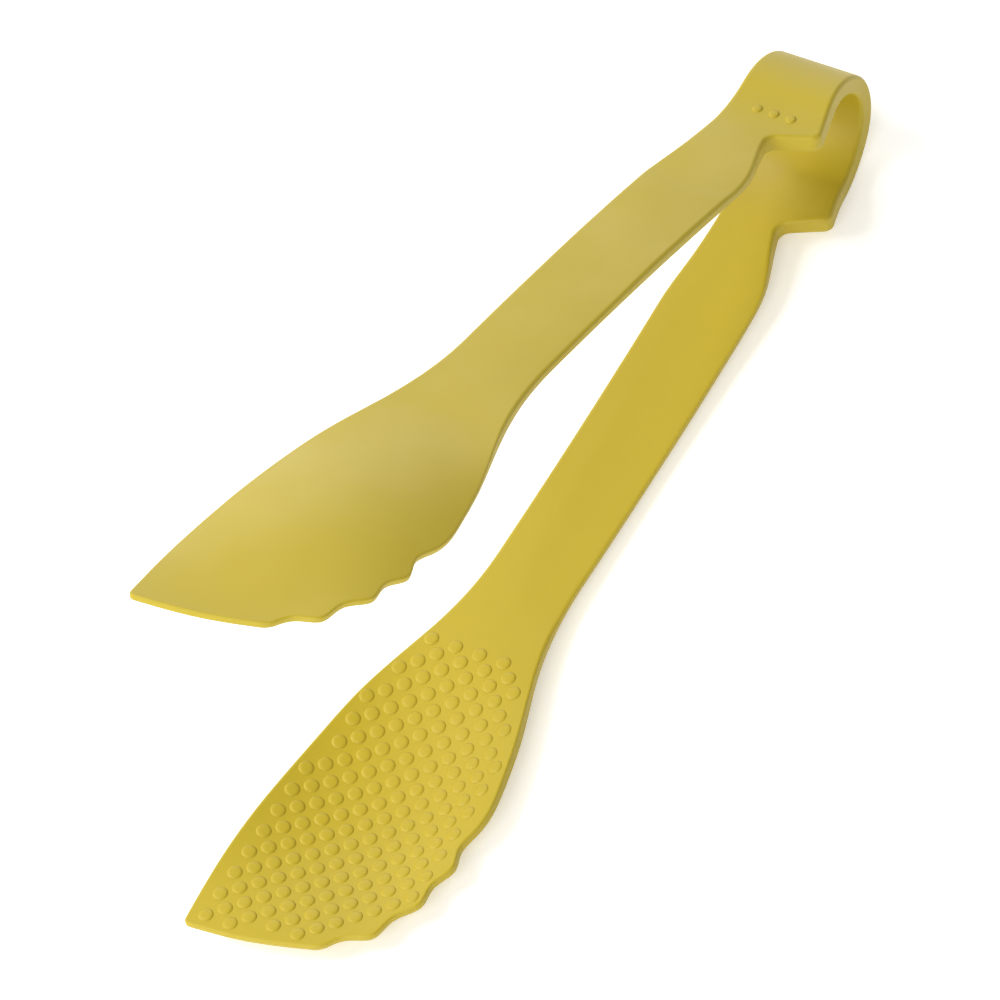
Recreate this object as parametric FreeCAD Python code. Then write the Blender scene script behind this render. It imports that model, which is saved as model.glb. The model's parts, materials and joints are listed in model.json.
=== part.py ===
import FreeCAD, Part
import math
import os

from FreeCAD import Base, Vector

# One-piece sprung kitchen tongs, moulded in nylon: a C-shaped spring bow carries two
# mirrored arms, and each arm runs through a wide shoulder and a flat handle into a
# cupped jaw. All sizes are millimetres.
#
# Working frame: X runs from the bow to the jaw tips, with X = 0 on the bow's centre-line,
# Y runs across the arms, and Z = 0 is the mirror plane between the two arms. At the end
# every piece is turned and lowered so that the lower arm lies on the plane Z = 0.

# Side view: the upper arm's centre-line is a row of tangent arcs. Each slope is the angle
# that the centre-line has reached at the end of its stretch, in degrees above the X axis.
BOW_REAR_RADIUS = 10.9
BOW_REAR_SLOPE = 45.0
BOW_SIDE_RADIUS = 16.2
BOW_END_SLOPE = -8.0
FLARE_LENGTH = 17.1
FLARE_END_SLOPE = 14.0
GRIP_LENGTH = 51.0
GRIP_END_SLOPE = 10.8
NECK_LENGTH = 67.0
NECK_END_SLOPE = 7.0
JAW_LENGTH = 86.2
JAW_END_SLOPE = 10.9

# Wall thickness along the arm.
BOW_THICKNESS = 4.3
HANDLE_THICKNESS = 2.8
JAW_MID_THICKNESS = 1.9
JAW_TIP_THICKNESS = 1.6
THINNING_START = 32.0
THINNING_LENGTH = 22.0

# Plan view: widths are measured from the centre-line, left is -Y and right is +Y.
BOW_LEFT = 10.4
BOW_RIGHT = 9.9
BOW_FLARE = 0.5
WAIST_LEFT = 8.7
WAIST_END_LEFT = 9.3
HANDLE_HALF_WIDTH = 10.6
LUG_REACH = 15.4
LUG_FROM_BOW_END = 9.7
NOTCH_DEPTH = 10.4
NOTCH_RUN = 5.0
NOTCH_RISE = 1.5
WAIST_RIGHT = 9.9
SHOULDER_LENGTH = 40.0
LUG_CORNER_RADIUS = 2.2
NOTCH_CORNER_RADIUS = 2.6

# Jaw outline: each row starts with a share of the jaw's length. The edges come first,
# then the tip and the lobes of the wavy right-hand edge.
FLARE_START = 24.0
JAW_EDGES = (
    (0.0, 14.1, 13.6),
    (0.222, 19.9, 19.5),
    (0.350, 22.0, 22.1),
)
JAW_LEFT_EDGES = (
    (0.560, 24.4),
    (0.805, 25.5),
)
TIP_LEFT = 24.8
FRONT_BULGE = (0.984, -9.5)
TIP_CORNER_RADIUS = 1.4
LOBES = (
    (0.488, 22.7),
    (0.610, 22.9),
    (0.729, 20.8),
    (0.858, 15.2),
    (0.939, 6.6),
)
LOBE_DEPTH = 1.25
FIRST_LOBE_RADIUS = 5.0

# Bowl of the jaw: how far its inner face dips below the rim.
BOWL_DEPTH = 4.9
BOWL_LIP = 2.2
BOWL_FULLNESS = 1.75
BOWL_CENTRE_Y = -0.2
BOWL_NECK_HALF_WIDTH = 13.9
BOWL_HALF_WIDTH = 24.4
BOWL_WIDENING_SHARE = 0.56

# Gripping bosses on the bowl: low domes on a square pattern turned by 45 degrees.
BOSS_RADIUS = 1.7
BOSS_HEIGHT = 0.3
BOSS_STEP = 3.0
BOSS_MARGIN = 2.05
BOSS_PATTERN_X = 34.8
BOSS_PATTERN_Y = -8.9

# Every dome is rooted this far into the wall that it stands on.
DOME_ROOT = 0.06

# Plain raised dots on the upper shoulder.
DOT_RADIUS = 1.2
DOT_HEIGHT = 0.35
DOT_SPACING = 4.2
DOT_COUNT = 3
DOT_FROM_BOW_END = 7.2
DOT_CENTRE_Y = 2.5

# How finely curves are sampled, how far cutting tools reach past what they cut, and the
# largest error that a measurement may have.
SAMPLES = 14
MARGIN = 6.0
OVERRUN = 2.0
TOLERANCE = 0.001


def next_arc(start, length, end_slope):
    """The arc that leaves start = (x, z, slope in radians) and reaches end_slope."""
    x, z, slope = start
    end = math.radians(end_slope)
    radius = length / (math.sin(end) - math.sin(slope))
    return (x + length, z + radius * (math.cos(slope) - math.cos(end)), end)


BOW_APEX = (0.0, 0.0, math.radians(90))
BOW_REAR_RUN = BOW_REAR_RADIUS * (1 - math.sin(math.radians(BOW_REAR_SLOPE)))
BOW_REAR = next_arc(BOW_APEX, BOW_REAR_RUN, BOW_REAR_SLOPE)
BOW_SIDE_RUN = BOW_SIDE_RADIUS * (math.sin(BOW_REAR[2]) - math.sin(math.radians(BOW_END_SLOPE)))
BOW_END = next_arc(BOW_REAR, BOW_SIDE_RUN, BOW_END_SLOPE)
FLARE_END = next_arc(BOW_END, FLARE_LENGTH, FLARE_END_SLOPE)
GRIP_END = next_arc(FLARE_END, GRIP_LENGTH, GRIP_END_SLOPE)
JAW_START = next_arc(GRIP_END, NECK_LENGTH, NECK_END_SLOPE)
TIP = next_arc(JAW_START, JAW_LENGTH, JAW_END_SLOPE)
STRETCHES = (BOW_END, FLARE_END, GRIP_END, JAW_START, TIP)
SHOULDER_END_X = BOW_END[0] + SHOULDER_LENGTH


def centre_line(x):
    """Height and slope of the upper arm's centre-line at x, past the end of the bow."""
    number = 0
    while number < len(STRETCHES) - 2 and x > STRETCHES[number + 1][0]:
        number += 1
    start, end = STRETCHES[number], STRETCHES[number + 1]
    radius = (end[0] - start[0]) / (math.sin(end[2]) - math.sin(start[2]))
    slope = math.asin(math.sin(start[2]) + (x - start[0]) / radius)
    return start[1] + radius * (math.cos(start[2]) - math.cos(slope)), slope


def ease(t):
    """Smooth step from 0 to 1."""
    t = min(max(t, 0.0), 1.0)
    return t * t * (3 - 2 * t)


def thickness(x):
    """Wall thickness at x, thinning once after the bow and again along the jaw."""
    half = JAW_LENGTH / 2
    wall = BOW_THICKNESS
    wall += (HANDLE_THICKNESS - BOW_THICKNESS) * ease((x - THINNING_START) / THINNING_LENGTH)
    wall += (JAW_MID_THICKNESS - HANDLE_THICKNESS) * ease((x - JAW_START[0]) / half)
    wall += (JAW_TIP_THICKNESS - JAW_MID_THICKNESS) * ease((x - JAW_START[0] - half) / half)
    return wall


def bowl_dip(x, y):
    """How far the jaw's faces lie outside the rim line at (x, y)."""
    run = x - JAW_START[0]
    along = max(0.0, 1 - (2 * run / (JAW_LENGTH - BOWL_LIP) - 1) ** 2) ** BOWL_FULLNESS
    widening_length = BOWL_WIDENING_SHARE * JAW_LENGTH
    widening = math.sin(math.pi / 2 * min(max(run / widening_length, 0.0), 1.0))
    half_width = BOWL_NECK_HALF_WIDTH + (BOWL_HALF_WIDTH - BOWL_NECK_HALF_WIDTH) * widening
    across = (y - BOWL_CENTRE_Y * widening) / half_width
    return BOWL_DEPTH * along * (1 - across * across)


def face_height(x, y, side):
    """Height of the upper arm's outer (side 1) or inner (side -1) face."""
    z, slope = centre_line(x)
    return z + side * thickness(x) / (2 * math.cos(slope)) + bowl_dip(x, y)


def steps(start, end, count):
    return [start + (end - start) * i / count for i in range(count + 1)]


def spline(points):
    curve = Part.BSplineCurve()
    curve.interpolate(points)
    return curve.toShape()


def jaw_point(share, y):
    """A plan point at a share of the jaw's length."""
    return Vector(JAW_START[0] + share * JAW_LENGTH, y, 0)


def wavy_points():
    """Crests and valleys of the jaw's right-hand edge, from the neck side to the tip."""
    crests = [jaw_point(share, y) for share, y in LOBES]
    points = []
    for start, end in zip(crests, crests[1:]):
        chord = end - start
        inward = Vector(chord.y, -chord.x, 0).normalize()
        points.append(start)
        points.append((start + end) / 2 + inward * LOBE_DEPTH)
    points.append(crests[-1])
    return points


def left_edge():
    """Left-hand plan edge, from behind the bow to the tip."""
    flare_x = JAW_START[0] - FLARE_START
    back = [
        Vector(-MARGIN, -BOW_LEFT, 0),
        Vector(BOW_REAR_RADIUS, -(WAIST_LEFT + BOW_LEFT) / 2, 0),
        Vector(BOW_END[0] + LUG_FROM_BOW_END, -WAIST_LEFT, 0),
        Vector(SHOULDER_END_X - SHOULDER_LENGTH / 3, -WAIST_END_LEFT, 0),
        Vector(SHOULDER_END_X, -HANDLE_HALF_WIDTH, 0),
    ]
    front = [Vector(flare_x, -HANDLE_HALF_WIDTH, 0)]
    front += [jaw_point(share, -left) for share, left, right in JAW_EDGES]
    front += [jaw_point(share, -left) for share, left in JAW_LEFT_EDGES]
    front += [Vector(TIP[0], -TIP_LEFT, 0)]
    return [spline(back), Part.makeLine(back[-1], front[0]), spline(front)]


def right_edge():
    """Right-hand plan edge, from the first lobe at the tip back to behind the bow."""
    flare_x = JAW_START[0] - FLARE_START
    lug = Vector(BOW_END[0] + LUG_FROM_BOW_END, LUG_REACH, 0)
    notch = lug + Vector(NOTCH_RUN, -NOTCH_DEPTH, 0)
    front = [Vector(flare_x, HANDLE_HALF_WIDTH, 0)]
    front += [jaw_point(share, right) for share, left, right in JAW_EDGES]
    front += wavy_points()
    waist = [
        notch,
        notch + Vector(NOTCH_RUN, NOTCH_RISE, 0),
        Vector(SHOULDER_END_X - SHOULDER_LENGTH / 4, WAIST_RIGHT, 0),
        Vector(SHOULDER_END_X, HANDLE_HALF_WIDTH, 0),
    ]
    bow = [
        Vector(-MARGIN, BOW_RIGHT, 0),
        Vector(BOW_REAR_RUN, BOW_RIGHT + BOW_FLARE, 0),
        Vector(BOW_END[0], (BOW_RIGHT + LUG_REACH) / 2, 0),
        lug,
    ]
    edges = [spline(front[::-1]), Part.makeLine(front[0], waist[-1])]
    edges += [spline(waist[::-1]), Part.makeLine(notch, lug), spline(bow[::-1])]
    return edges


def near(edges, x, y):
    """The upright edge that stands closest to (x, y)."""
    upright = [e for e in edges if e.BoundBox.XLength + e.BoundBox.YLength < TOLERANCE]
    return min(upright, key=lambda e: math.hypot(e.CenterOfMass.x - x, e.CenterOfMass.y - y))


def plan_prism():
    """Upright prism over one arm's plan outline, with its corners rounded."""
    left = left_edge()
    right = right_edge()
    tip = Vector(TIP[0], -TIP_LEFT, 0)
    first_lobe = jaw_point(*LOBES[-1])
    close = Part.makeLine(Vector(-MARGIN, BOW_RIGHT, 0), Vector(-MARGIN, -BOW_LEFT, 0))
    bulge = jaw_point(*FRONT_BULGE)
    outline = left + [spline([tip, bulge, first_lobe])] + right + [close]
    prism = Part.Face(Part.Wire(outline)).extrude(Vector(0, 0, 4 * TIP[1]))
    prism.translate(Vector(0, 0, -2 * TIP[1]))
    lug_x = BOW_END[0] + LUG_FROM_BOW_END
    corners = (
        (lug_x, LUG_REACH, LUG_CORNER_RADIUS),
        (lug_x + NOTCH_RUN, LUG_REACH - NOTCH_DEPTH, NOTCH_CORNER_RADIUS),
        (TIP[0], -TIP_LEFT, TIP_CORNER_RADIUS),
        (first_lobe.x, first_lobe.y, FIRST_LOBE_RADIUS),
    )
    for x, y, radius in corners:
        prism = prism.makeFillet(radius, [near(prism.Edges, x, y)])
    return prism


def arm_band():
    """The upper arm's side view, from the bow's end to just inside the jaw, as a wide band."""
    width = 4 * BOWL_HALF_WIDTH
    places = [BOW_END[0]]
    for start, end in zip(STRETCHES, STRETCHES[1:4]):
        places += steps(start[0], end[0], SAMPLES)[1:]
    places.append(JAW_START[0] + OVERRUN)
    rows = {1: [], -1: []}
    for x in places:
        z, slope = centre_line(x)
        for side in rows:
            half = side * thickness(x) / 2
            point = Vector(x - half * math.sin(slope), -width / 2, z + half * math.cos(slope))
            rows[side].append(point)
    outer, inner = rows[1], rows[-1]
    edges = [spline(outer), Part.makeLine(outer[-1], inner[-1])]
    edges += [spline(inner[::-1]), Part.makeLine(inner[0], outer[0])]
    return Part.Face(Part.Wire(edges)).extrude(Vector(0, width, 0))


def bowl_face(side):
    """Smooth face through the jaw's outer (side 1) or inner (side -1) surface."""
    reach = BOWL_HALF_WIDTH + MARGIN
    rows = []
    for x in steps(JAW_START[0] - OVERRUN, TIP[0] + OVERRUN, 2 * SAMPLES):
        across = steps(-reach, reach, SAMPLES)
        rows.append([Vector(x, y, face_height(x, y, side)) for y in across])
    surface = Part.BSplineSurface()
    surface.interpolate(rows)
    return surface.toShape()


def slab(x0, x1):
    """Everything between two planes across the arm."""
    width = 8 * BOWL_HALF_WIDTH
    height = 4 * TIP[1]
    return Part.makeBox(x1 - x0, width, height, Vector(x0, -width / 2, -height / 2))


def arm_pieces(prism):
    """The upper arm's shoulder and handle, cut from one band."""
    arm = arm_band().common(prism)
    shoulder = arm.common(slab(0, SHOULDER_END_X))
    handle = arm.common(slab(SHOULDER_END_X, JAW_START[0]))
    return shoulder, handle


def jaw_piece(prism):
    """The upper arm's cupped jaw: the outline between the outer and inner bowl faces."""
    depth = Vector(0, 0, -TIP[1])
    under_outer = bowl_face(1).extrude(depth)
    under_inner = bowl_face(-1).extrude(depth * 2)
    shell = under_outer.cut(under_inner)
    return shell.common(prism).common(slab(JAW_START[0], TIP[0] + MARGIN))


def dome(radius, height):
    """A low dome that bulges along +Z from the plane Z = 0, rooted just below it."""
    sphere_radius = (radius * radius + height * height) / (2 * height)
    ball = Part.makeSphere(sphere_radius, Vector(0, 0, height - sphere_radius))
    corner = Vector(-2 * radius, -2 * radius, -DOME_ROOT)
    return ball.common(Part.makeBox(4 * radius, 4 * radius, 2 * height, corner))


def face_arc(start, radius, slopes, offset):
    """One face of a bent stretch of strip, offset from its centre-line arc."""
    points = []
    for slope in slopes:
        x = start[0] + radius * (math.sin(start[2]) - math.sin(slope))
        z = start[1] + radius * (math.cos(slope) - math.cos(start[2]))
        points.append(Vector(x - offset * math.sin(slope), 0, z + offset * math.cos(slope)))
    return points


def bow(prism):
    """The C-shaped spring: an arc of strip that both shoulders leave."""
    end_slope = math.radians(BOW_END_SLOPE)
    rear_slopes = steps(BOW_APEX[2], BOW_REAR[2], 2)
    side_slopes = steps(BOW_REAR[2], end_slope, 2)
    edges = []
    corners = []
    for offset in (BOW_THICKNESS / 2, -BOW_THICKNESS / 2):
        rear = face_arc(BOW_APEX, BOW_REAR_RADIUS, rear_slopes, offset)
        side = face_arc(BOW_REAR, BOW_SIDE_RADIUS, side_slopes, offset)
        below = [Vector(point.x, 0, -point.z) for point in rear + side]
        edges.append(Part.Arc(rear[2], rear[0], below[2]).toShape())
        edges.append(Part.Arc(rear[2], side[1], side[2]).toShape())
        edges.append(Part.Arc(below[2], below[4], below[5]).toShape())
        corners.append((side[2], below[5]))
    for number in (0, 1):
        edges.append(Part.makeLine(corners[0][number], corners[1][number]))
    band = Part.Face(Part.Wire(Part.__sortEdges__(edges)))
    band.translate(Vector(0, -2 * BOWL_HALF_WIDTH, 0))
    strip = band.extrude(Vector(0, 4 * BOWL_HALF_WIDTH, 0))
    return strip.common(prism)


def surface_placement(x, y, side):
    """Places something modelled on Z = 0 on the arm's face, bulging away from the wall."""
    step = 0.1
    point = Vector(x, y, face_height(x, y, side))
    along = Vector(x + step, y, face_height(x + step, y, side)) - point
    across = Vector(x, y + step, face_height(x, y + step, side)) - point
    normal = along.cross(across) * side
    return FreeCAD.Placement(point, FreeCAD.Rotation(Vector(0, 0, 1), normal))


def boss_places(prism):
    """Boss centres: every other point of a grid that stands clear of the jaw's edges."""
    outline = Part.Face(sorted(prism.Faces, key=lambda f: f.CenterOfMass.z)[-1].OuterWire)
    level = outline.CenterOfMass.z
    start = JAW_START[0]
    first_x = start + BOSS_RADIUS
    first_column = -int(BOSS_PATTERN_X // BOSS_STEP)
    rows = int(2 * BOWL_HALF_WIDTH // BOSS_STEP)
    places = []
    for column in range(first_column, int(JAW_LENGTH // BOSS_STEP) + 1):
        for row in range(-rows, rows + 1):
            x = start + BOSS_PATTERN_X + BOSS_STEP * column
            y = BOSS_PATTERN_Y + BOSS_STEP * row
            point = Vector(x, y, level)
            inside = outline.isInside(point, TOLERANCE, True)
            if (column + row) % 2 or x < first_x or not inside:
                continue
            if outline.OuterWire.distToShape(Part.Vertex(point))[0] >= BOSS_MARGIN:
                places.append((x, y))
    return places


def bosses(prism):
    """The domes that stand on the upper jaw's inner face."""
    domes = []
    for x, y in boss_places(prism):
        boss = dome(BOSS_RADIUS, BOSS_HEIGHT)
        boss.Placement = surface_placement(x, y, -1)
        domes.append(boss)
    return Part.makeCompound(domes)


def dots():
    """The plain raised dots on the upper shoulder's outer face."""
    domes = []
    for number in range(DOT_COUNT):
        y = DOT_CENTRE_Y + DOT_SPACING * (number - (DOT_COUNT - 1) / 2)
        dot = dome(DOT_RADIUS, DOT_HEIGHT)
        dot.Placement = surface_placement(BOW_END[0] + DOT_FROM_BOW_END, y, 1)
        domes.append(dot)
    return Part.makeCompound(domes)


def resting_tilt(shapes):
    """The turn about Y that brings the lower bow and the lower jaw to the same level."""
    low, high = 0.0, 45.0
    while high - low > TOLERANCE / TIP[0]:
        tilt = (low + high) / 2
        levels = []
        for shape in shapes:
            turned = shape.copy()
            turned.rotate(Vector(0, 0, 0), Vector(0, 1, 0), -tilt)
            levels.append(turned.optimalBoundingBox(False).ZMin)
        if levels[0] < levels[1]:
            high = tilt
        else:
            low = tilt
    return (low + high) / 2


def main():
    prism = plan_prism()
    shoulder, handle = arm_pieces(prism)
    upper = {
        "shoulder": shoulder,
        "handle": handle,
        "jaw": jaw_piece(prism),
        "grip_bosses": bosses(prism),
    }
    pieces = {"spring_bow": bow(prism), "upper_raised_dots": dots()}
    for name, shape in upper.items():
        pieces["upper_" + name] = shape
        pieces["lower_" + name] = shape.mirror(Vector(0, 0, 0), Vector(0, 0, 1))
    tilt = resting_tilt([pieces["spring_bow"], pieces["lower_jaw"]])
    for shape in pieces.values():
        shape.rotate(Vector(0, 0, 0), Vector(0, 1, 0), -tilt)
    box = Base.BoundBox()
    for shape in pieces.values():
        box.add(shape.optimalBoundingBox(False))
    origin = Vector(box.Center.x, box.Center.y, box.ZMin)
    os.makedirs("parts", exist_ok=True)
    for name, shape in pieces.items():
        shape.translate(-origin)
        shape.exportStep("parts/" + name + ".step")
    print("turned by", tilt, "degrees, then moved by", -origin)


main()
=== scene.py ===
import json
import math

import bpy
import numpy as np
from mathutils import Euler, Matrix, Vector


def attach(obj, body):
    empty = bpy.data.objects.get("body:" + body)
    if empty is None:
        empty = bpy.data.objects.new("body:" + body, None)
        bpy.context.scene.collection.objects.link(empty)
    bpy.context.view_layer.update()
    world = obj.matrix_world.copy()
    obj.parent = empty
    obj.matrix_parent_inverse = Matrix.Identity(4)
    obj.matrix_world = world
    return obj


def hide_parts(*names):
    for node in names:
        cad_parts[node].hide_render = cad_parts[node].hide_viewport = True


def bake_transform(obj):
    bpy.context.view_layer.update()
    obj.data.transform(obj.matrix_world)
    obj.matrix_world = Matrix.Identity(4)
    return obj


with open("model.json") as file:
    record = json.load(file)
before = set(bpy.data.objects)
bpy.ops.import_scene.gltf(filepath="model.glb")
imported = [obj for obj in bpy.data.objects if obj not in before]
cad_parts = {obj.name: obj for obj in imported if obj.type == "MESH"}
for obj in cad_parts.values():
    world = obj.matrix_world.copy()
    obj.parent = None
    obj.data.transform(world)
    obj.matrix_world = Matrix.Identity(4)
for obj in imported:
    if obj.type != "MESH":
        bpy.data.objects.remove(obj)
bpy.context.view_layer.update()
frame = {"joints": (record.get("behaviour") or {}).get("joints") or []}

# The tongs are one moulding: a strip that starts at the apex of the spring bow and runs
# through a shoulder and a handle into a cupped jaw, once above and once below the mirror
# plane. Everything is modelled in the mirror plane's own frame, in metres: X from the bow
# to the jaw tips, Y across the arms, Z up from the mirror plane. to_frame() then places it
# in the CAD frame, where the lower arm lies on the ground.

# Side view: length or radius of each tangent arc, and the slope it ends at in degrees.
BOW_ARCS = ((0.0109, 45.0), (0.0162, -8.0))
ARM_ARCS = ((0.0171, 14.0), (0.0510, 10.8), (0.0670, 7.0), (0.0862, 10.9))

# Wall thickness.
BOW_THICKNESS = 0.0043
HANDLE_THICKNESS = 0.0028
JAW_MID_THICKNESS = 0.0019
JAW_TIP_THICKNESS = 0.0016
THINNING_START = 0.032
THINNING_LENGTH = 0.022
EDGE_RADIUS = 0.0009
JAW_EDGE_RADIUS = 0.0005
LEAST_SIDE_WALL = 0.0002

# Plan view: points at X, with the distance from the centre-line.
BOW_LEFT = 0.0104
BOW_RIGHT = 0.0099
BOW_FLARE = 0.0005
WAIST_LEFT = 0.0087
WAIST_END_LEFT = 0.0093
WAIST_RIGHT = 0.0099
HANDLE_HALF_WIDTH = 0.0106
LUG_REACH = 0.0154
LUG_FROM_BOW_END = 0.0097
NOTCH_DEPTH = 0.0104
NOTCH_RUN = 0.0050
NOTCH_RISE = 0.0015
SHOULDER_LENGTH = 0.040
LUG_CORNER_RADIUS = 0.0022
NOTCH_CORNER_RADIUS = 0.0026
BEHIND_BOW = 0.006

# Jaw outline: each row starts with a share of the jaw's length.
FLARE_START = 0.024
JAW_EDGES = ((0.0, 0.0141, 0.0136), (0.222, 0.0199, 0.0195), (0.350, 0.0220, 0.0221))
JAW_LEFT_EDGES = ((0.560, 0.0244), (0.805, 0.0255))
TIP_LEFT = 0.0248
FRONT_BULGE = (0.984, -0.0095)
TIP_CORNER_RADIUS = 0.0014
LOBES = ((0.488, 0.0227), (0.610, 0.0229), (0.729, 0.0208), (0.858, 0.0152), (0.939, 0.0066))
LOBE_DEPTH = 0.00125
FIRST_LOBE_RADIUS = 0.005

# Bowl of the jaw.
BOWL_DEPTH = 0.0049
BOWL_LIP = 0.0022
BOWL_FULLNESS = 1.75
BOWL_CENTRE_Y = -0.0002
BOWL_NECK_HALF_WIDTH = 0.0139
BOWL_HALF_WIDTH = 0.0244
BOWL_WIDENING_SHARE = 0.56

# Gripping bosses and raised dots: lathed pads, as (share of the radius, share of the height).
BOSS_RADIUS = 0.0017
BOSS_HEIGHT = 0.0003
BOSS_STEP = 0.0030
BOSS_MARGIN = 0.00205
BOSS_PATTERN_X = 0.0348
BOSS_PATTERN_Y = -0.0089
BOSS_PROFILE = ((0.0, 1.0), (0.35, 0.98), (0.6, 0.92), (0.78, 0.76), (0.91, 0.44), (1.0, 0.0))
DOT_RADIUS = 0.0012
DOT_HEIGHT = 0.00035
DOT_SPACING = 0.0042
DOT_COUNT = 3
DOT_FROM_BOW_END = 0.0072
DOT_CENTRE_Y = 0.0025
PAD_ROOT = 0.00012
PAD_SEGMENTS = 28

# Soft relief of the moulding: the handle's outer face is slightly crowned and starts at a
# shallow curved step, and the inner face has a faint ridge along it.
CROWN = 0.00025
STEP_X = 0.0567
STEP_CURVE = 30.0
STEP_HEIGHT = 0.00028
STEP_RUN = 0.0030
RIDGE_LINE = ((0.031, 0.0004), (0.0527, -0.0053), (0.122, -0.0035), (0.148, 0.0019))
RIDGE_FALL = 0.050
RIDGE_WIDTH = 0.0005
RIDGE_FADE = 0.012

# How finely the mesh follows the shape: points along each stretch, across, and round an
# edge. Columns crowd towards the edges, and the jaw's rows crowd towards its tip. The
# shoulder's middle stretch, from before the lug to past the notch, has the closest rows.
BOW_ROWS = 44
SHOULDER_ROWS = (14, 64, 34)
HANDLE_ROWS = (54, 34)
JAW_ROWS = 190
COLUMNS = 36
RIM_RINGS = 6
BEFORE_LUG = 0.003
PAST_NOTCH = 0.010
TIP_CROWDING = 0.12
EDGE_CROWDING = 0.45

# Points on each curve of the plan outline and on each rounded corner.
BACK_POINTS = 400
FRONT_POINTS = 900
WAVY_POINTS = 1200
SHORT_CURVE_POINTS = 300
FLANK_POINTS = 120
CORNER_POINTS = 25
CORNER_PASSES = 6
TABLE_POINTS = 30001

# The mirror plane is tilted like this when the lower arm lies on the ground, and the hinge
# axis crosses it at this X.
RESTING_TILT = math.radians(10.04363)
HINGE_X = 0.00657

# Camera: place, turn in degrees and focal length in millimetres.
CAMERA_PLACE = (1.93365, 1.85020, 3.33017)
CAMERA_TURN = (37.5175, 11.3298, 119.6077)
CAMERA_LENS = 718.94
CAMERA_SENSOR = 36.0
CAMERA_RANGE = 20.0

# Studio: round lamps aimed at the object, each with its name, place, size and power, over
# a white floor that glows a little, in an even white surround.
LAMPS = (
    ("key_light", (0.65, -1.3, 1.6), 1.6, 40.0),
    ("rim_light", (-1.45, -1.05, 0.60), 1.6, 13.0),
    ("fill_light", (1.4, 0.35, 1.0), 1.2, 15.0),
)
SURROUND_STRENGTH = 0.36
FLOOR_HALF_WIDTH = 4.0
FLOOR_DROP = 0.0002
FLOOR_COLOUR = (0.93, 0.93, 0.93, 1)
FLOOR_ROUGHNESS = 0.9
FLOOR_SHINE = 0.1
FLOOR_GLOW = 0.35
WHITE = (1, 1, 1, 1)

# Nylon: two close olive yellows, mixed by round clouds and by streaks along the flow of the
# moulding, and an even satin finish with a fine grain over slight waves. Noise has a scale
# per metre and a detail, and the part of its range that is used.
DEEP_YELLOW = (0.455, 0.345, 0.016, 1)
LIGHT_YELLOW = (0.485, 0.370, 0.019, 1)
NYLON_IOR = 1.5
NYLON_SHINE = 0.42
CLOUDS = (38, 3)
FLOW = (30, 2)
FLOW_STRETCH = (0.35, 1.6, 1.0)
FINISH = (55, 2)
FINISH_ROUGHNESS = (0.46, 0.56)
GRAIN = (2600, 2)
GRAIN_STRENGTH = 0.10
GRAIN_HEIGHT = 0.00008
WAVES = (110, 1)
WAVES_STRENGTH = 0.12
WAVES_HEIGHT = 0.0006
NOISE_LOW = 0.3
NOISE_HIGH = 0.7

MERGE_DIGITS = 8
TINY = 1e-5


# ---------------------------------------------------------------- side view

def build_arcs():
    """Every arc of the centre-line: where it starts, its signed radius and its end."""
    arcs = []
    x, z, slope, run = 0.0, 0.0, math.radians(90), 0.0
    stretches = [(-radius, None, end) for radius, end in BOW_ARCS]
    stretches += [(None, length, end) for length, end in ARM_ARCS]
    for radius, length, end_degrees in stretches:
        end = math.radians(end_degrees)
        if radius is None:
            radius = length / (math.sin(end) - math.sin(slope))
        arcs.append((run, x, z, slope, radius))
        run += radius * (end - slope)
        x += radius * (math.sin(end) - math.sin(slope))
        z += radius * (math.cos(slope) - math.cos(end))
        slope = end
    return arcs, run


ARCS, STRIP_LENGTH = build_arcs()


def centre_line(run):
    """X, Z and slope of the upper arm's centre-line at each run from the bow's apex."""
    run = np.asarray(run, float)
    x, z, slope = np.zeros(run.shape), np.zeros(run.shape), np.zeros(run.shape)
    for start, x0, z0, slope0, radius in ARCS:
        here = run >= start
        angle = slope0 + (run - start) / radius
        x = np.where(here, x0 + radius * (np.sin(angle) - math.sin(slope0)), x)
        z = np.where(here, z0 + radius * (math.cos(slope0) - np.cos(angle)), z)
        slope = np.where(here, angle, slope)
    return x, z, slope


RUN_TABLE = np.linspace(0.0, STRIP_LENGTH + BEHIND_BOW, TABLE_POINTS)
X_TABLE = centre_line(RUN_TABLE)[0]
BOW_END = ARCS[len(BOW_ARCS)][1]
JAW_START = ARCS[-1][1]
JAW_LENGTH = ARM_ARCS[-1][0]
TIP = JAW_START + JAW_LENGTH
SHOULDER_END = BOW_END + SHOULDER_LENGTH


def run_at(x):
    """Run along the strip at plan position X."""
    return np.interp(x, X_TABLE, RUN_TABLE)


def ease(t):
    """A smooth step from 0 to 1."""
    t = np.clip(t, 0.0, 1.0)
    return t * t * (3 - 2 * t)


def thickness(x):
    """Wall thickness at plan position X."""
    half = JAW_LENGTH / 2
    wall = BOW_THICKNESS
    wall = wall + (HANDLE_THICKNESS - BOW_THICKNESS) * ease((x - THINNING_START) / THINNING_LENGTH)
    wall = wall + (JAW_MID_THICKNESS - HANDLE_THICKNESS) * ease((x - JAW_START) / half)
    return wall + (JAW_TIP_THICKNESS - JAW_MID_THICKNESS) * ease((x - JAW_START - half) / half)


def edge_radius(x):
    """Rounding of the strip's long edges, which is crisper round the jaw."""
    radius = EDGE_RADIUS + (JAW_EDGE_RADIUS - EDGE_RADIUS) * ease((x - JAW_START) / FLARE_START + 0.5)
    return np.minimum(radius, (thickness(x) - LEAST_SIDE_WALL) / 2)


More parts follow.
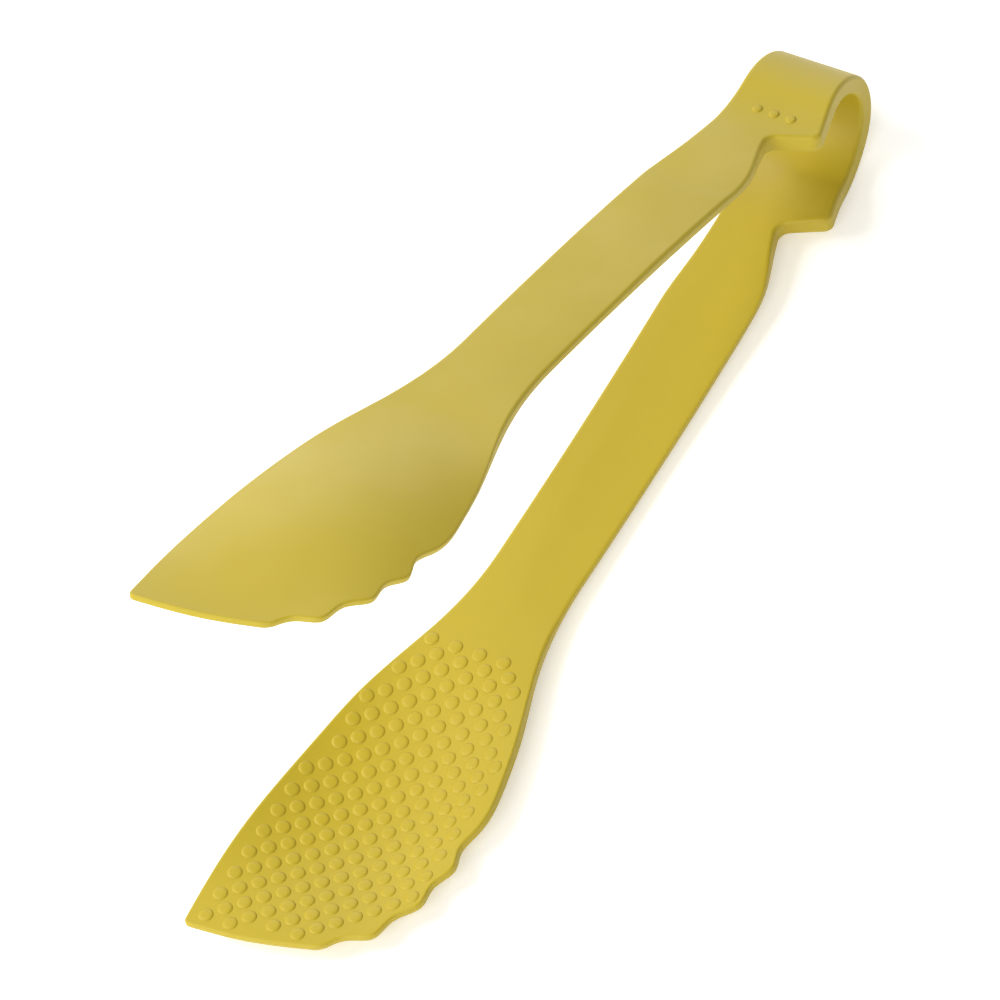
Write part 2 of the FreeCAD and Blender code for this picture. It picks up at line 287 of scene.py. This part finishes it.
def bowl_dip(x, y):
    """How far the jaw lies outside its rim line."""
    run = np.clip(x - JAW_START, 0.0, JAW_LENGTH - BOWL_LIP)
    along = np.maximum(0.0, 1 - (2 * run / (JAW_LENGTH - BOWL_LIP) - 1) ** 2) ** BOWL_FULLNESS
    widening = np.sin(math.pi / 2 * np.clip(run / (BOWL_WIDENING_SHARE * JAW_LENGTH), 0.0, 1.0))
    half_width = BOWL_NECK_HALF_WIDTH + (BOWL_HALF_WIDTH - BOWL_NECK_HALF_WIDTH) * widening
    across = (y - BOWL_CENTRE_Y * widening) / half_width
    return BOWL_DEPTH * along * (1 - across * across)


# ---------------------------------------------------------------- plan view

def spline(points, count, start=None, end=None):
    """Points on a cubic spline through the given ones, with its end directions if given."""
    points = np.array(points, float)
    knots = np.concatenate([[0.0], np.cumsum(np.linalg.norm(np.diff(points, axis=0), axis=1))])
    size = len(points)
    gaps = np.diff(knots)
    matrix = np.zeros((size, size))
    side = np.zeros((size, 2))
    for i in range(1, size - 1):
        matrix[i, i - 1:i + 2] = (gaps[i], 2 * (gaps[i - 1] + gaps[i]), gaps[i - 1])
        before = (points[i] - points[i - 1]) / gaps[i - 1]
        after = (points[i + 1] - points[i]) / gaps[i]
        side[i] = 3 * (gaps[i] * before + gaps[i - 1] * after)
    for row, other, direction in ((0, 1, start), (-1, -2, end)):
        if direction is not None:
            matrix[row, row] = 1.0
            side[row] = direction
        else:
            matrix[row, row] = 2.0
            matrix[row, other] = 1.0
            gap = knots[other] - knots[row]
            side[row] = 3 * (points[other] - points[row]) / gap
    slopes = np.linalg.solve(matrix, side)
    at = np.linspace(0.0, knots[-1], count)
    piece = np.clip(np.searchsorted(knots, at, side="right") - 1, 0, size - 2)
    gap = gaps[piece][:, None]
    t = ((at - knots[piece]) / gaps[piece])[:, None]
    p0, p1, m0, m1 = points[piece], points[piece + 1], slopes[piece], slopes[piece + 1]
    return ((2 * t ** 3 - 3 * t ** 2 + 1) * p0 + (t ** 3 - 2 * t ** 2 + t) * gap * m0
            + (3 * t ** 2 - 2 * t ** 3) * p1 + (t ** 3 - t ** 2) * gap * m1)


def lengths(points):
    """Distance along a row of points."""
    return np.concatenate([[0.0], np.cumsum(np.linalg.norm(np.diff(points, axis=0), axis=1))])


def at_length(points, where):
    """Points at the given distances along a row of points."""
    along = lengths(points)
    return np.stack([np.interp(where, along, points[:, k]) for k in (0, 1)], axis=1)


def join_rounded(before, after, radius):
    """Two rows of points that meet at a corner, joined by an arc of the given radius."""
    corner = before[-1]
    reach = radius
    for _ in range(CORNER_PASSES):
        a = at_length(before, [lengths(before)[-1] - reach])[0]
        b = at_length(after, [reach])[0]
        into = (corner - a) / np.linalg.norm(corner - a)
        out = (b - corner) / np.linalg.norm(b - corner)
        half_turn = math.acos(np.clip(into @ out, -1, 1)) / 2
        reach = radius * math.tan(half_turn)
    kept_before = before[lengths(before) < lengths(before)[-1] - reach]
    kept_after = after[lengths(after) > reach]
    weight = math.cos(half_turn)
    arc = []
    for t in np.linspace(0.0, 1.0, CORNER_POINTS):
        parts = ((1 - t) ** 2, 2 * weight * t * (1 - t), t * t)
        arc.append((parts[0] * a + parts[1] * corner + parts[2] * b) / sum(parts))
    middle = len(kept_before) + len(arc) // 2
    return np.concatenate([kept_before, arc, kept_after]), middle


def jaw_point(share, y):
    """A plan point at a share of the jaw's length."""
    return np.array((JAW_START + share * JAW_LENGTH, y))


def wavy_points():
    """Crests and valleys of the jaw's right-hand edge, from the neck side to the tip."""
    crests = [jaw_point(share, y) for share, y in LOBES]
    points = []
    for start, end in zip(crests, crests[1:]):
        chord = (end - start) / np.linalg.norm(end - start)
        points.append(start)
        points.append((start + end) / 2 + LOBE_DEPTH * np.array((chord[1], -chord[0])))
    return points + [crests[-1]]


def outline():
    """The plan outline from behind the bow along the left edge, round the tip and back along
    the right edge, with the places of the tip's and the first lobe's corners in it."""
    flare_x = JAW_START - FLARE_START
    along = (1.0, 0.0)
    left_back = spline([
        (-BEHIND_BOW, -BOW_LEFT),
        (BOW_ARCS[0][0], -(WAIST_LEFT + BOW_LEFT) / 2),
        (BOW_END + LUG_FROM_BOW_END, -WAIST_LEFT),
        (SHOULDER_END - SHOULDER_LENGTH / 3, -WAIST_END_LEFT),
        (SHOULDER_END, -HANDLE_HALF_WIDTH),
    ], BACK_POINTS, end=along)
    front = [(flare_x, -HANDLE_HALF_WIDTH)]
    front += [jaw_point(share, -left) for share, left, right in JAW_EDGES]
    front += [jaw_point(share, -left) for share, left in JAW_LEFT_EDGES]
    left_front = spline(front + [(TIP, -TIP_LEFT)], FRONT_POINTS, start=along)
    left = np.concatenate([left_back, left_front])

    first_lobe = jaw_point(*LOBES[-1])
    front_edge = spline([(TIP, -TIP_LEFT), jaw_point(*FRONT_BULGE), first_lobe],
                        SHORT_CURVE_POINTS)

    back = (-1.0, 0.0)
    front = [(flare_x, HANDLE_HALF_WIDTH)]
    front += [jaw_point(share, right) for share, left, right in JAW_EDGES] + wavy_points()
    right_front = spline(front[::-1], WAVY_POINTS, end=back)
    lug = np.array((BOW_END + LUG_FROM_BOW_END, LUG_REACH))
    notch = lug + np.array((NOTCH_RUN, -NOTCH_DEPTH))
    waist = spline([
        (SHOULDER_END, HANDLE_HALF_WIDTH),
        (SHOULDER_END - SHOULDER_LENGTH / 4, WAIST_RIGHT),
        notch + np.array((NOTCH_RUN, NOTCH_RISE)),
        notch,
    ], SHORT_CURVE_POINTS, start=back)
    flank = np.linspace(notch, lug, FLANK_POINTS)
    rear_run = BOW_ARCS[0][0] * (1 - math.sin(math.radians(BOW_ARCS[0][1])))
    bow = spline([
        lug,
        (BOW_END, (BOW_RIGHT + LUG_REACH) / 2),
        (rear_run, BOW_RIGHT + BOW_FLARE),
        (-BEHIND_BOW, BOW_RIGHT),
    ], SHORT_CURVE_POINTS)

    to_lobe, tip_at = join_rounded(left, front_edge, TIP_CORNER_RADIUS)
    to_handle, lobe_at = join_rounded(to_lobe, right_front, FIRST_LOBE_RADIUS)
    to_notch = np.concatenate([to_handle, waist])
    to_lug = join_rounded(to_notch, flank, NOTCH_CORNER_RADIUS)[0]
    whole = join_rounded(to_lug, bow, LUG_CORNER_RADIUS)[0]
    return whole, tip_at, lobe_at


OUTLINE, TIP_AT, LOBE_AT = outline()


def outline_distance(x, y):
    """Distance from plan points to the outline, negative outside it."""
    ends = np.roll(OUTLINE, -1, axis=0)
    spans = ends - OUTLINE
    squares = np.maximum((spans ** 2).sum(axis=1), 1e-18)
    out = []
    for px, py in zip(x, y):
        offset = np.array((px, py)) - OUTLINE
        t = np.clip((offset * spans).sum(axis=1) / squares, 0.0, 1.0)[:, None]
        nearest = np.linalg.norm(offset - t * spans, axis=1).min()
        crossing = (OUTLINE[:, 1] > py) != (ends[:, 1] > py)
        rise = np.where(spans[:, 1] == 0, 1.0, spans[:, 1])
        at = OUTLINE[:, 0] + (py - OUTLINE[:, 1]) * spans[:, 0] / rise
        inside = (crossing & (at > px)).sum() % 2 == 1
        out.append(nearest if inside else -nearest)
    return np.array(out)


# ---------------------------------------------------------------- the strip's surfaces

def relief(x, y, side):
    """How much lower the outer or inner face lies than an even wall would have it."""
    if side > 0:
        handle = ease((x - BOW_END) / SHOULDER_LENGTH) * (1 - ease((x - JAW_START) / FLARE_START + 1))
        crown = CROWN * handle * (y / HANDLE_HALF_WIDTH) ** 2
        past = np.maximum(x - (STEP_X - STEP_CURVE * y * y), 0.0)
        raised = STEP_HEIGHT * (1 - np.exp(-past / STEP_RUN))
        faded = 1 - ease((x - STEP_X - FLARE_START) / FLARE_START)
        return crown - raised * faded
    line = np.array(RIDGE_LINE)
    off_ridge = y - np.interp(x, line[:, 0], line[:, 1])
    shown = ease((x - line[0, 0]) / RIDGE_FADE) * (1 - ease((x - line[-1, 0]) / RIDGE_FADE + 1))
    return shown * RIDGE_FALL * (np.hypot(off_ridge, RIDGE_WIDTH) + off_ridge) / 2


def surface(run, y, side, height, rim):
    """Points of the upper arm's face: side 1 is outside, -1 inside. height is the distance
    from the mid-surface, and rim runs from 0 at the side wall to 1 on the face."""
    x, z, slope = centre_line(run)
    dip = bowl_dip(x, y)
    dip_x = (bowl_dip(x + TINY, y) - bowl_dip(x - TINY, y)) / (2 * TINY)
    dip_y = (bowl_dip(x, y + TINY) - bowl_dip(x, y - TINY)) / (2 * TINY)
    rise = np.sin(slope) + dip_x * np.cos(slope)
    normal = np.stack([-rise, -dip_y * np.cos(slope), np.cos(slope)], axis=-1)
    normal /= np.linalg.norm(normal, axis=-1, keepdims=True)
    offset = side * (height - rim * relief(x, y, side))
    middle = np.stack([x, y, z + dip], axis=-1)
    return middle + normal * offset[..., None]


def station_runs():
    """Runs of the rows across the strip from the apex to the start of the jaw."""
    lug = BOW_END + LUG_FROM_BOW_END
    places = [
        (0.0, BOW_END, BOW_ROWS),
        (BOW_END, lug - BEFORE_LUG, SHOULDER_ROWS[0]),
        (lug - BEFORE_LUG, lug + PAST_NOTCH, SHOULDER_ROWS[1]),
        (lug + PAST_NOTCH, SHOULDER_END, SHOULDER_ROWS[2]),
        (SHOULDER_END, JAW_START - FLARE_START, HANDLE_ROWS[0]),
        (JAW_START - FLARE_START, JAW_START, HANDLE_ROWS[1]),
    ]
    runs = [0.0]
    for start, end, count in places:
        runs += list(np.linspace(run_at(start), run_at(end), count + 1)[1:])
    return np.array(runs)


def edge_y(x, edge):
    """Y of an edge at each X."""
    order = np.argsort(edge[:, 0], kind="stable")
    return np.interp(x, edge[order, 0], edge[order, 1])


def flat_boundary():
    """Matching points on the left and right edges, row by row, then the front edge."""
    runs = station_runs()
    x = centre_line(runs)[0]
    left_edge, front_edge = OUTLINE[:TIP_AT + 1], OUTLINE[TIP_AT:LOBE_AT + 1]
    right_edge = OUTLINE[LOBE_AT:][::-1]
    straight_left = np.stack([runs, edge_y(x, left_edge)], axis=1)
    straight_right = np.stack([runs, edge_y(x, right_edge)], axis=1)
    sides = []
    for edge in (left_edge, right_edge):
        jaw = edge[edge[:, 0] > JAW_START]
        start = np.array([[JAW_START, edge_y(JAW_START, edge)]])
        jaw = np.concatenate([start, jaw])
        t = np.linspace(0.0, 1.0, JAW_ROWS + 1)[1:]
        share = t + TIP_CROWDING * np.sin(math.pi * t) * t
        points = at_length(jaw, share * lengths(jaw)[-1])
        sides.append(np.stack([run_at(points[:, 0]), points[:, 1]], axis=1))
    t = np.linspace(0.0, 1.0, COLUMNS + 1)
    share = across_shares(t)
    front = at_length(front_edge, share * lengths(front_edge)[-1])
    front = np.stack([run_at(front[:, 0]), front[:, 1]], axis=1)
    left = np.concatenate([straight_left, sides[0]])
    right = np.concatenate([straight_right, sides[1]])
    return left, right, front, len(runs) - 1


def across_shares(t):
    """Spacing of the columns: closer together near the edges."""
    return (1 - EDGE_CROWDING) * t + EDGE_CROWDING * (1 - np.cos(math.pi * t)) / 2


def inward(points):
    """Unit normals to the left of travel, which point into the strip."""
    along = np.gradient(points, lengths(points), axis=0)
    along /= np.linalg.norm(along, axis=1, keepdims=True)
    return np.stack([-along[:, 1], along[:, 0]], axis=1)


def build_half():
    """Every quad of the upper half of the moulding with the number of its stretch, and the
    flat caps at the end of the bow, the shoulder and the handle."""
    left, right, front, jaw_row = flat_boundary()
    loop = np.concatenate([left, front[1:-1], right[::-1]])
    # the loop starts and ends at the mirror plane, where the edges run straight on
    mirrored = np.concatenate([[loop[1] * (-1, 1)], loop, [loop[-2] * (-1, 1)]])
    normals = inward(mirrored)[1:-1]
    rows = len(left)
    angles = np.linspace(0.0, math.pi / 2, RIM_RINGS + 1)

    def radius_at(flat):
        return edge_radius(centre_line(flat[:, 0])[0])

    inset = loop + normals * radius_at(loop)[:, None]
    left_in = inset[:rows]
    right_start = rows + len(front) - 2
    front_in = inset[rows - 1:right_start + 1]
    right_in = inset[right_start:][::-1]

    share = across_shares(np.linspace(0.0, 1.0, COLUMNS + 1))[None, :, None]
    ruled = left_in[:, None] * (1 - share) + right_in[:, None] * share
    reach = np.clip((np.arange(rows) - jaw_row) / (rows - 1 - jaw_row), 0.0, 1.0)
    interior = ruled + (reach ** 2)[:, None, None] * (front_in[None] - ruled[-1:])

    def half_heights(flat, angle):
        """Distance of a ring's points from the mid-surface."""
        x = centre_line(flat[..., 0])[0]
        return thickness(x) / 2 - edge_radius(x) * (1 - math.sin(angle))

    quads, tags = [], []
    shoulder_end_row = BOW_ROWS + sum(SHOULDER_ROWS)

    def tag(row):
        """0 in the bow, 1 in the shoulder, 2 in the handle and 3 in the jaw."""
        if row < BOW_ROWS:
            return 0
        if row < shoulder_end_row:
            return 1
        return 2 if row < jaw_row else 3

    def add(grid, names, flip):
        """The quads between a grid's points, tagged row by row."""
        corners = [grid[:-1, :-1], grid[1:, :-1], grid[1:, 1:], grid[:-1, 1:]]
        if flip:
            corners = corners[::-1]
        quads.append(np.stack(corners, axis=2).reshape(-1, 4, 3))
        tags.append(np.repeat(names, grid.shape[1] - 1))

    row_tags = [tag(row) for row in range(rows - 1)]
    rings = [loop + normals * (radius_at(loop) * (1 - math.cos(a)))[:, None] for a in angles]
    sections = {}
    for side in (1, -1):
        face = surface(interior[..., 0], interior[..., 1], side, half_heights(interior, math.pi / 2), 1.0)
        add(face, row_tags, side < 0)
        strip = np.stack([surface(ring[:, 0], ring[:, 1], side, half_heights(ring, a), math.sin(a))
                          for ring, a in zip(rings, angles)], axis=1)
        loop_tags = row_tags + [3] * (len(front) - 1) + row_tags[::-1]
        add(strip, loop_tags, side < 0)
        sections[side] = (face, strip)
    wall = np.stack([sections[-1][1][:, 0], sections[1][1][:, 0]], axis=1)
    add(wall, row_tags + [3] * (len(front) - 1) + row_tags[::-1], False)

    caps = {}
    for number, row in ((0, BOW_ROWS), (1, shoulder_end_row), (2, jaw_row)):
        lines = {}
        for side in (1, -1):
            face, strip = sections[side]
            lines[side] = np.concatenate([strip[row], face[row, 1:-1], strip[len(loop) - 1 - row][::-1]])
        caps[number] = np.stack([lines[1][:-1], lines[1][1:], lines[-1][1:], lines[-1][:-1]], axis=1)
    return np.concatenate(quads), np.concatenate(tags), caps


# ---------------------------------------------------------------- meshes

hinge = frame["joints"][0]
TILT_MATRIX = np.array([
    [math.cos(RESTING_TILT), 0.0, -math.sin(RESTING_TILT)],
    [0.0, 1.0, 0.0],
    [math.sin(RESTING_TILT), 0.0, math.cos(RESTING_TILT)],
])
SHIFT = np.array(hinge["pos_m"]) - TILT_MATRIX @ np.array((HINGE_X, 0.0, 0.0))


def to_frame(points):
    """From the mirror plane's frame to the CAD frame."""
    return np.asarray(points) @ TILT_MATRIX.T + SHIFT


def below(quads):
    """The same quads on the lower arm."""
    return (quads * (1, 1, -1))[:, ::-1]


def weld(quads):
    """Shared corner points and the index of each quad's corners."""
    points, index = np.unique(np.round(quads.reshape(-1, 3), MERGE_DIGITS), axis=0, return_inverse=True)
    return points, index.reshape(-1, 4)


def smooth_normals(points, faces):
    """Area-weighted normal at each point."""
    a, b, c, d = (points[faces[:, k]] for k in range(4))
    face_normals = np.cross(c - a, d - b)
    normals = np.zeros(points.shape)
    for k in range(4):
        np.add.at(normals, faces[:, k], face_normals)
    return normals / np.maximum(np.linalg.norm(normals, axis=1, keepdims=True), 1e-20)


def clean_face(corners):
    """A face's corners without repeats."""
    kept = []
    for corner in corners:
        if corner not in kept:
            kept.append(corner)
    return kept


def make_piece(name, points, faces, normals, material, cap_count=0):
    """A closed mesh object; the last cap_count faces are flat end caps."""
    mesh = bpy.data.meshes.new(name)
    used, local = np.unique(faces, return_inverse=True)
    local = local.reshape(faces.shape)
    kept = [(clean_face(row), number >= len(faces) - cap_count) for number, row in enumerate(local.tolist())]
    kept = [(face, cap) for face, cap in kept if len(face) > 2]
    mesh.from_pydata(points[used].tolist(), [], [face for face, cap in kept])
    mesh.polygons.foreach_set("use_smooth", [True] * len(kept))
    own = normals[used]
    corner_normals = []
    for polygon, (face, cap) in zip(mesh.polygons, kept):
        flat = tuple(polygon.normal)
        corner_normals += [flat if cap else tuple(own[corner]) for corner in face]
    mesh.normals_split_custom_set(corner_normals)
    mesh.materials.append(material)
    piece = bpy.data.objects.new(name, mesh)
    bpy.context.scene.collection.objects.link(piece)
    return piece


def moulding_pieces(material):
    """The seven stretches of the moulding, cut from one welded surface."""
    quads, tags, caps = build_half()
    names = {1: "shoulder", 2: "handle", 3: "jaw"}
    everything = [quads, below(quads)]
    cap_list, owners = [], []
    for number, cap in caps.items():
        for turned, owner in ((cap[:, ::-1], number), (cap, number + 1)):
            cap_list.append(turned)
            owners.append(owner)
    count = len(quads)
    for cap in cap_list:
        everything.append(cap)
    for cap in cap_list:
        everything.append(below(cap))
    points, faces = weld(to_frame(np.concatenate(everything)))
    surface_faces = faces[:2 * count]
    normals = smooth_normals(points, surface_faces)
    start = 2 * count
    cap_faces = {1: [], -1: []}
    for side in (1, -1):
        for cap in cap_list:
            cap_faces[side].append(faces[start:start + len(cap)])
            start += len(cap)
    pieces = {}
    for side, prefix, body in ((1, "upper_", "upper_arm"), (-1, "lower_", "lower_arm")):
        own = surface_faces[:count] if side > 0 else surface_faces[count:]
        for number, name in names.items():
            ends = [c for c, owner in zip(cap_faces[side], owners) if owner == number]
            chosen = np.concatenate([own[tags == number]] + ends)
            piece = make_piece("moulded_" + prefix + name, points, chosen, normals, material,
                               sum(len(e) for e in ends))
            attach(piece, body)
            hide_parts(prefix + name)
            pieces[prefix + name] = piece
    ends = [c for side in (1, -1) for c, owner in zip(cap_faces[side], owners) if owner == 0]
    chosen = np.concatenate([surface_faces[:count][tags == 0], surface_faces[count:][tags == 0]] + ends)
    bow = make_piece("moulded_spring_bow", points, chosen, normals, material, sum(len(e) for e in ends))
    pieces["spring_bow"] = bow
    return pieces


def pad(radius, height, profile):
    """Points and faces of one round pad on Z = 0, closed below and rooted in the wall."""
    rings = [(share * radius, level * height) for share, level in profile[1:]]
    rings.append((radius, -PAD_ROOT))
    points = [(0.0, 0.0, height)]
    for ring_radius, level in rings:
        for number in range(PAD_SEGMENTS):
            angle = 2 * math.pi * number / PAD_SEGMENTS
            points.append((ring_radius * math.cos(angle), ring_radius * math.sin(angle), level))
    faces = []
    for number in range(PAD_SEGMENTS):
        after = (number + 1) % PAD_SEGMENTS
        faces.append((0, 1 + number, 1 + after))
        for ring in range(len(rings) - 1):
            here, there = 1 + ring * PAD_SEGMENTS, 1 + (ring + 1) * PAD_SEGMENTS
            faces.append((here + number, there + number, there + after, here + after))
    last = 1 + (len(rings) - 1) * PAD_SEGMENTS
    faces.append(tuple(last + number for number in reversed(range(PAD_SEGMENTS))))
    return np.array(points), faces


def pad_group(name, places, side, dims, profile, mirrored, material):
    """One mesh of pads that stand on the arm's outer (side 1) or inner (side -1) face."""
    shape, shape_faces = pad(*dims, profile)
    points, faces = [], []
    for x, y in places:
        run = run_at(np.array([x, x + TINY, x]))
        across = np.array([y, y, y + TINY])
        half = thickness(centre_line(run)[0]) / 2
        spot, along, aside = surface(run, across, side, half, 1.0)
        e1 = (along - spot) / np.linalg.norm(along - spot)
        normal = side * np.cross(e1, aside - spot)
        normal /= np.linalg.norm(normal)
        e2 = np.cross(normal, e1)
        placed = spot + shape @ np.stack([e1, e2, normal])
        start = len(points)
        points += list(placed)
        faces += [[start + corner for corner in face] for face in shape_faces]
    points = np.array(points)
    if mirrored:
        points = points * (1, 1, -1)
        faces = [face[::-1] for face in faces]
    mesh = bpy.data.meshes.new(name)
    mesh.from_pydata(to_frame(points).tolist(), [], faces)
    mesh.polygons.foreach_set("use_smooth", [len(face) < PAD_SEGMENTS for face in faces])
    mesh.materials.append(material)
    piece = bpy.data.objects.new(name, mesh)
    bpy.context.scene.collection.objects.link(piece)
    return piece


def boss_places():
    """Every other point of a square grid that stands clear of the jaw's edges."""
    columns = range(-int(BOSS_PATTERN_X // BOSS_STEP), int(JAW_LENGTH // BOSS_STEP) + 1)
    rows = int(2 * BOWL_HALF_WIDTH // BOSS_STEP)
    grid = [(JAW_START + BOSS_PATTERN_X + BOSS_STEP * column, BOSS_PATTERN_Y + BOSS_STEP * row)
            for column in columns for row in range(-rows, rows + 1) if (column + row) % 2 == 0]
    grid = np.array([place for place in grid if place[0] >= JAW_START + BOSS_RADIUS])
    clear = outline_distance(grid[:, 0], grid[:, 1]) >= BOSS_MARGIN
    return grid[clear]


# ---------------------------------------------------------------- material

def nylon():
    """Satin moulded nylon: olive yellow with faint flow marks and a fine even texture."""
    material = bpy.data.materials.new("satin_nylon_moulded")
    material.use_nodes = True
    tree = material.node_tree
    nodes, links = tree.nodes, tree.links
    shader = nodes["Principled BSDF"]
    shader.inputs["IOR"].default_value = NYLON_IOR
    shader.inputs["Specular IOR Level"].default_value = NYLON_SHINE
    place = nodes.new("ShaderNodeTexCoord")

    def noise(scale, detail, stretch=(1, 1, 1)):
        mapping = nodes.new("ShaderNodeMapping")
        mapping.inputs["Scale"].default_value = stretch
        links.new(place.outputs["Object"], mapping.inputs["Vector"])
        texture = nodes.new("ShaderNodeTexNoise")
        texture.inputs["Scale"].default_value = scale
        texture.inputs["Detail"].default_value = detail
        links.new(mapping.outputs["Vector"], texture.inputs["Vector"])
        return texture.outputs["Fac"]

    def ramp(factor, low, high):
        node = nodes.new("ShaderNodeMapRange")
        node.inputs["From Min"].default_value = NOISE_LOW
        node.inputs["From Max"].default_value = NOISE_HIGH
        node.inputs["To Min"].default_value = low
        node.inputs["To Max"].default_value = high
        links.new(factor, node.inputs["Value"])
        return node.outputs["Result"]

    def bump(height, strength, distance):
        node = nodes.new("ShaderNodeBump")
        node.inputs["Strength"].default_value = strength
        node.inputs["Distance"].default_value = distance
        links.new(height, node.inputs["Height"])
        return node

    both = nodes.new("ShaderNodeMath")
    both.operation = "ADD"
    links.new(ramp(noise(*CLOUDS), 0.0, 0.5), both.inputs[0])
    links.new(ramp(noise(*FLOW, FLOW_STRETCH), 0.0, 0.5), both.inputs[1])
    colour = nodes.new("ShaderNodeMix")
    colour.data_type = "RGBA"
    colour.inputs["A"].default_value = DEEP_YELLOW
    colour.inputs["B"].default_value = LIGHT_YELLOW
    links.new(both.outputs["Value"], colour.inputs["Factor"])
    links.new(colour.outputs["Result"], shader.inputs["Base Color"])

    links.new(ramp(noise(*FINISH), *FINISH_ROUGHNESS), shader.inputs["Roughness"])

    grain = bump(noise(*GRAIN), GRAIN_STRENGTH, GRAIN_HEIGHT)
    waves = bump(noise(*WAVES), WAVES_STRENGTH, WAVES_HEIGHT)
    links.new(grain.outputs["Normal"], waves.inputs["Normal"])
    links.new(waves.outputs["Normal"], shader.inputs["Normal"])
    return material


def paper_white():
    """The floor's matt white paper."""
    material = bpy.data.materials.new("studio_paper")
    material.use_nodes = True
    shader = material.node_tree.nodes["Principled BSDF"]
    shader.inputs["Base Color"].default_value = FLOOR_COLOUR
    shader.inputs["Roughness"].default_value = FLOOR_ROUGHNESS
    shader.inputs["Specular IOR Level"].default_value = FLOOR_SHINE
    shader.inputs["Emission Color"].default_value = WHITE
    shader.inputs["Emission Strength"].default_value = FLOOR_GLOW
    return material


# ---------------------------------------------------------------- studio

def studio_floor():
    mesh = bpy.data.meshes.new("studio_floor")
    half = FLOOR_HALF_WIDTH
    corners = [(-half, -half, 0), (half, -half, 0), (half, half, 0), (-half, half, 0)]
    mesh.from_pydata(corners, [], [(0, 1, 2, 3)])
    mesh.materials.append(paper_white())
    floor = bpy.data.objects.new("studio_floor", mesh)
    floor.location.z = -FLOOR_DROP
    bpy.context.scene.collection.objects.link(floor)


def area_light(name, place, size, power):
    data = bpy.data.lights.new(name, "AREA")
    data.shape = "DISK"
    data.size = size
    data.energy = power
    lamp = bpy.data.objects.new(name, data)
    lamp.location = place
    lamp.rotation_euler = (-Vector(place)).to_track_quat("-Z", "Y").to_euler()
    bpy.context.scene.collection.objects.link(lamp)


def studio():
    studio_floor()
    for lamp in LAMPS:
        area_light(*lamp)
    world = bpy.data.worlds.new("studio_world")
    world.use_nodes = True
    background = world.node_tree.nodes["Background"]
    background.inputs["Color"].default_value = WHITE
    background.inputs["Strength"].default_value = SURROUND_STRENGTH
    bpy.context.scene.world = world
    bpy.context.scene.view_settings.view_transform = "Standard"


def camera():
    data = bpy.data.cameras.new("photo_camera")
    data.lens = CAMERA_LENS
    data.sensor_width = CAMERA_SENSOR
    data.clip_end = CAMERA_RANGE
    view = bpy.data.objects.new("photo_camera", data)
    view.location = CAMERA_PLACE
    view.rotation_euler = Euler([math.radians(angle) for angle in CAMERA_TURN])
    bpy.context.scene.collection.objects.link(view)
    bpy.context.scene.camera = view


# ---------------------------------------------------------------- the object

def main():
    camera()
    studio()
    material = nylon()
    pieces = moulding_pieces(material)

    for prefix, body, mirrored in (("upper_", "upper_arm", False), ("lower_", "lower_arm", True)):
        bosses = pad_group("moulded_" + prefix + "grip_bosses", boss_places(), -1,
                           (BOSS_RADIUS, BOSS_HEIGHT), BOSS_PROFILE, mirrored, material)
        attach(bosses, body)
        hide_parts(prefix + "grip_bosses")
        pieces[prefix + "grip_bosses"] = bosses

    first = DOT_CENTRE_Y - DOT_SPACING * (DOT_COUNT - 1) / 2
    places = [(BOW_END + DOT_FROM_BOW_END, first + DOT_SPACING * number) for number in range(DOT_COUNT)]
    dots = pad_group("moulded_raised_dots", places, 1, (DOT_RADIUS, DOT_HEIGHT), BOSS_PROFILE,
                     False, material)
    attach(dots, "upper_arm")
    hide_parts("upper_raised_dots")
    pieces["raised_dots"] = dots

    bow = pieces["spring_bow"]
    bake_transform(bow)
    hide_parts("spring_bow")


main()
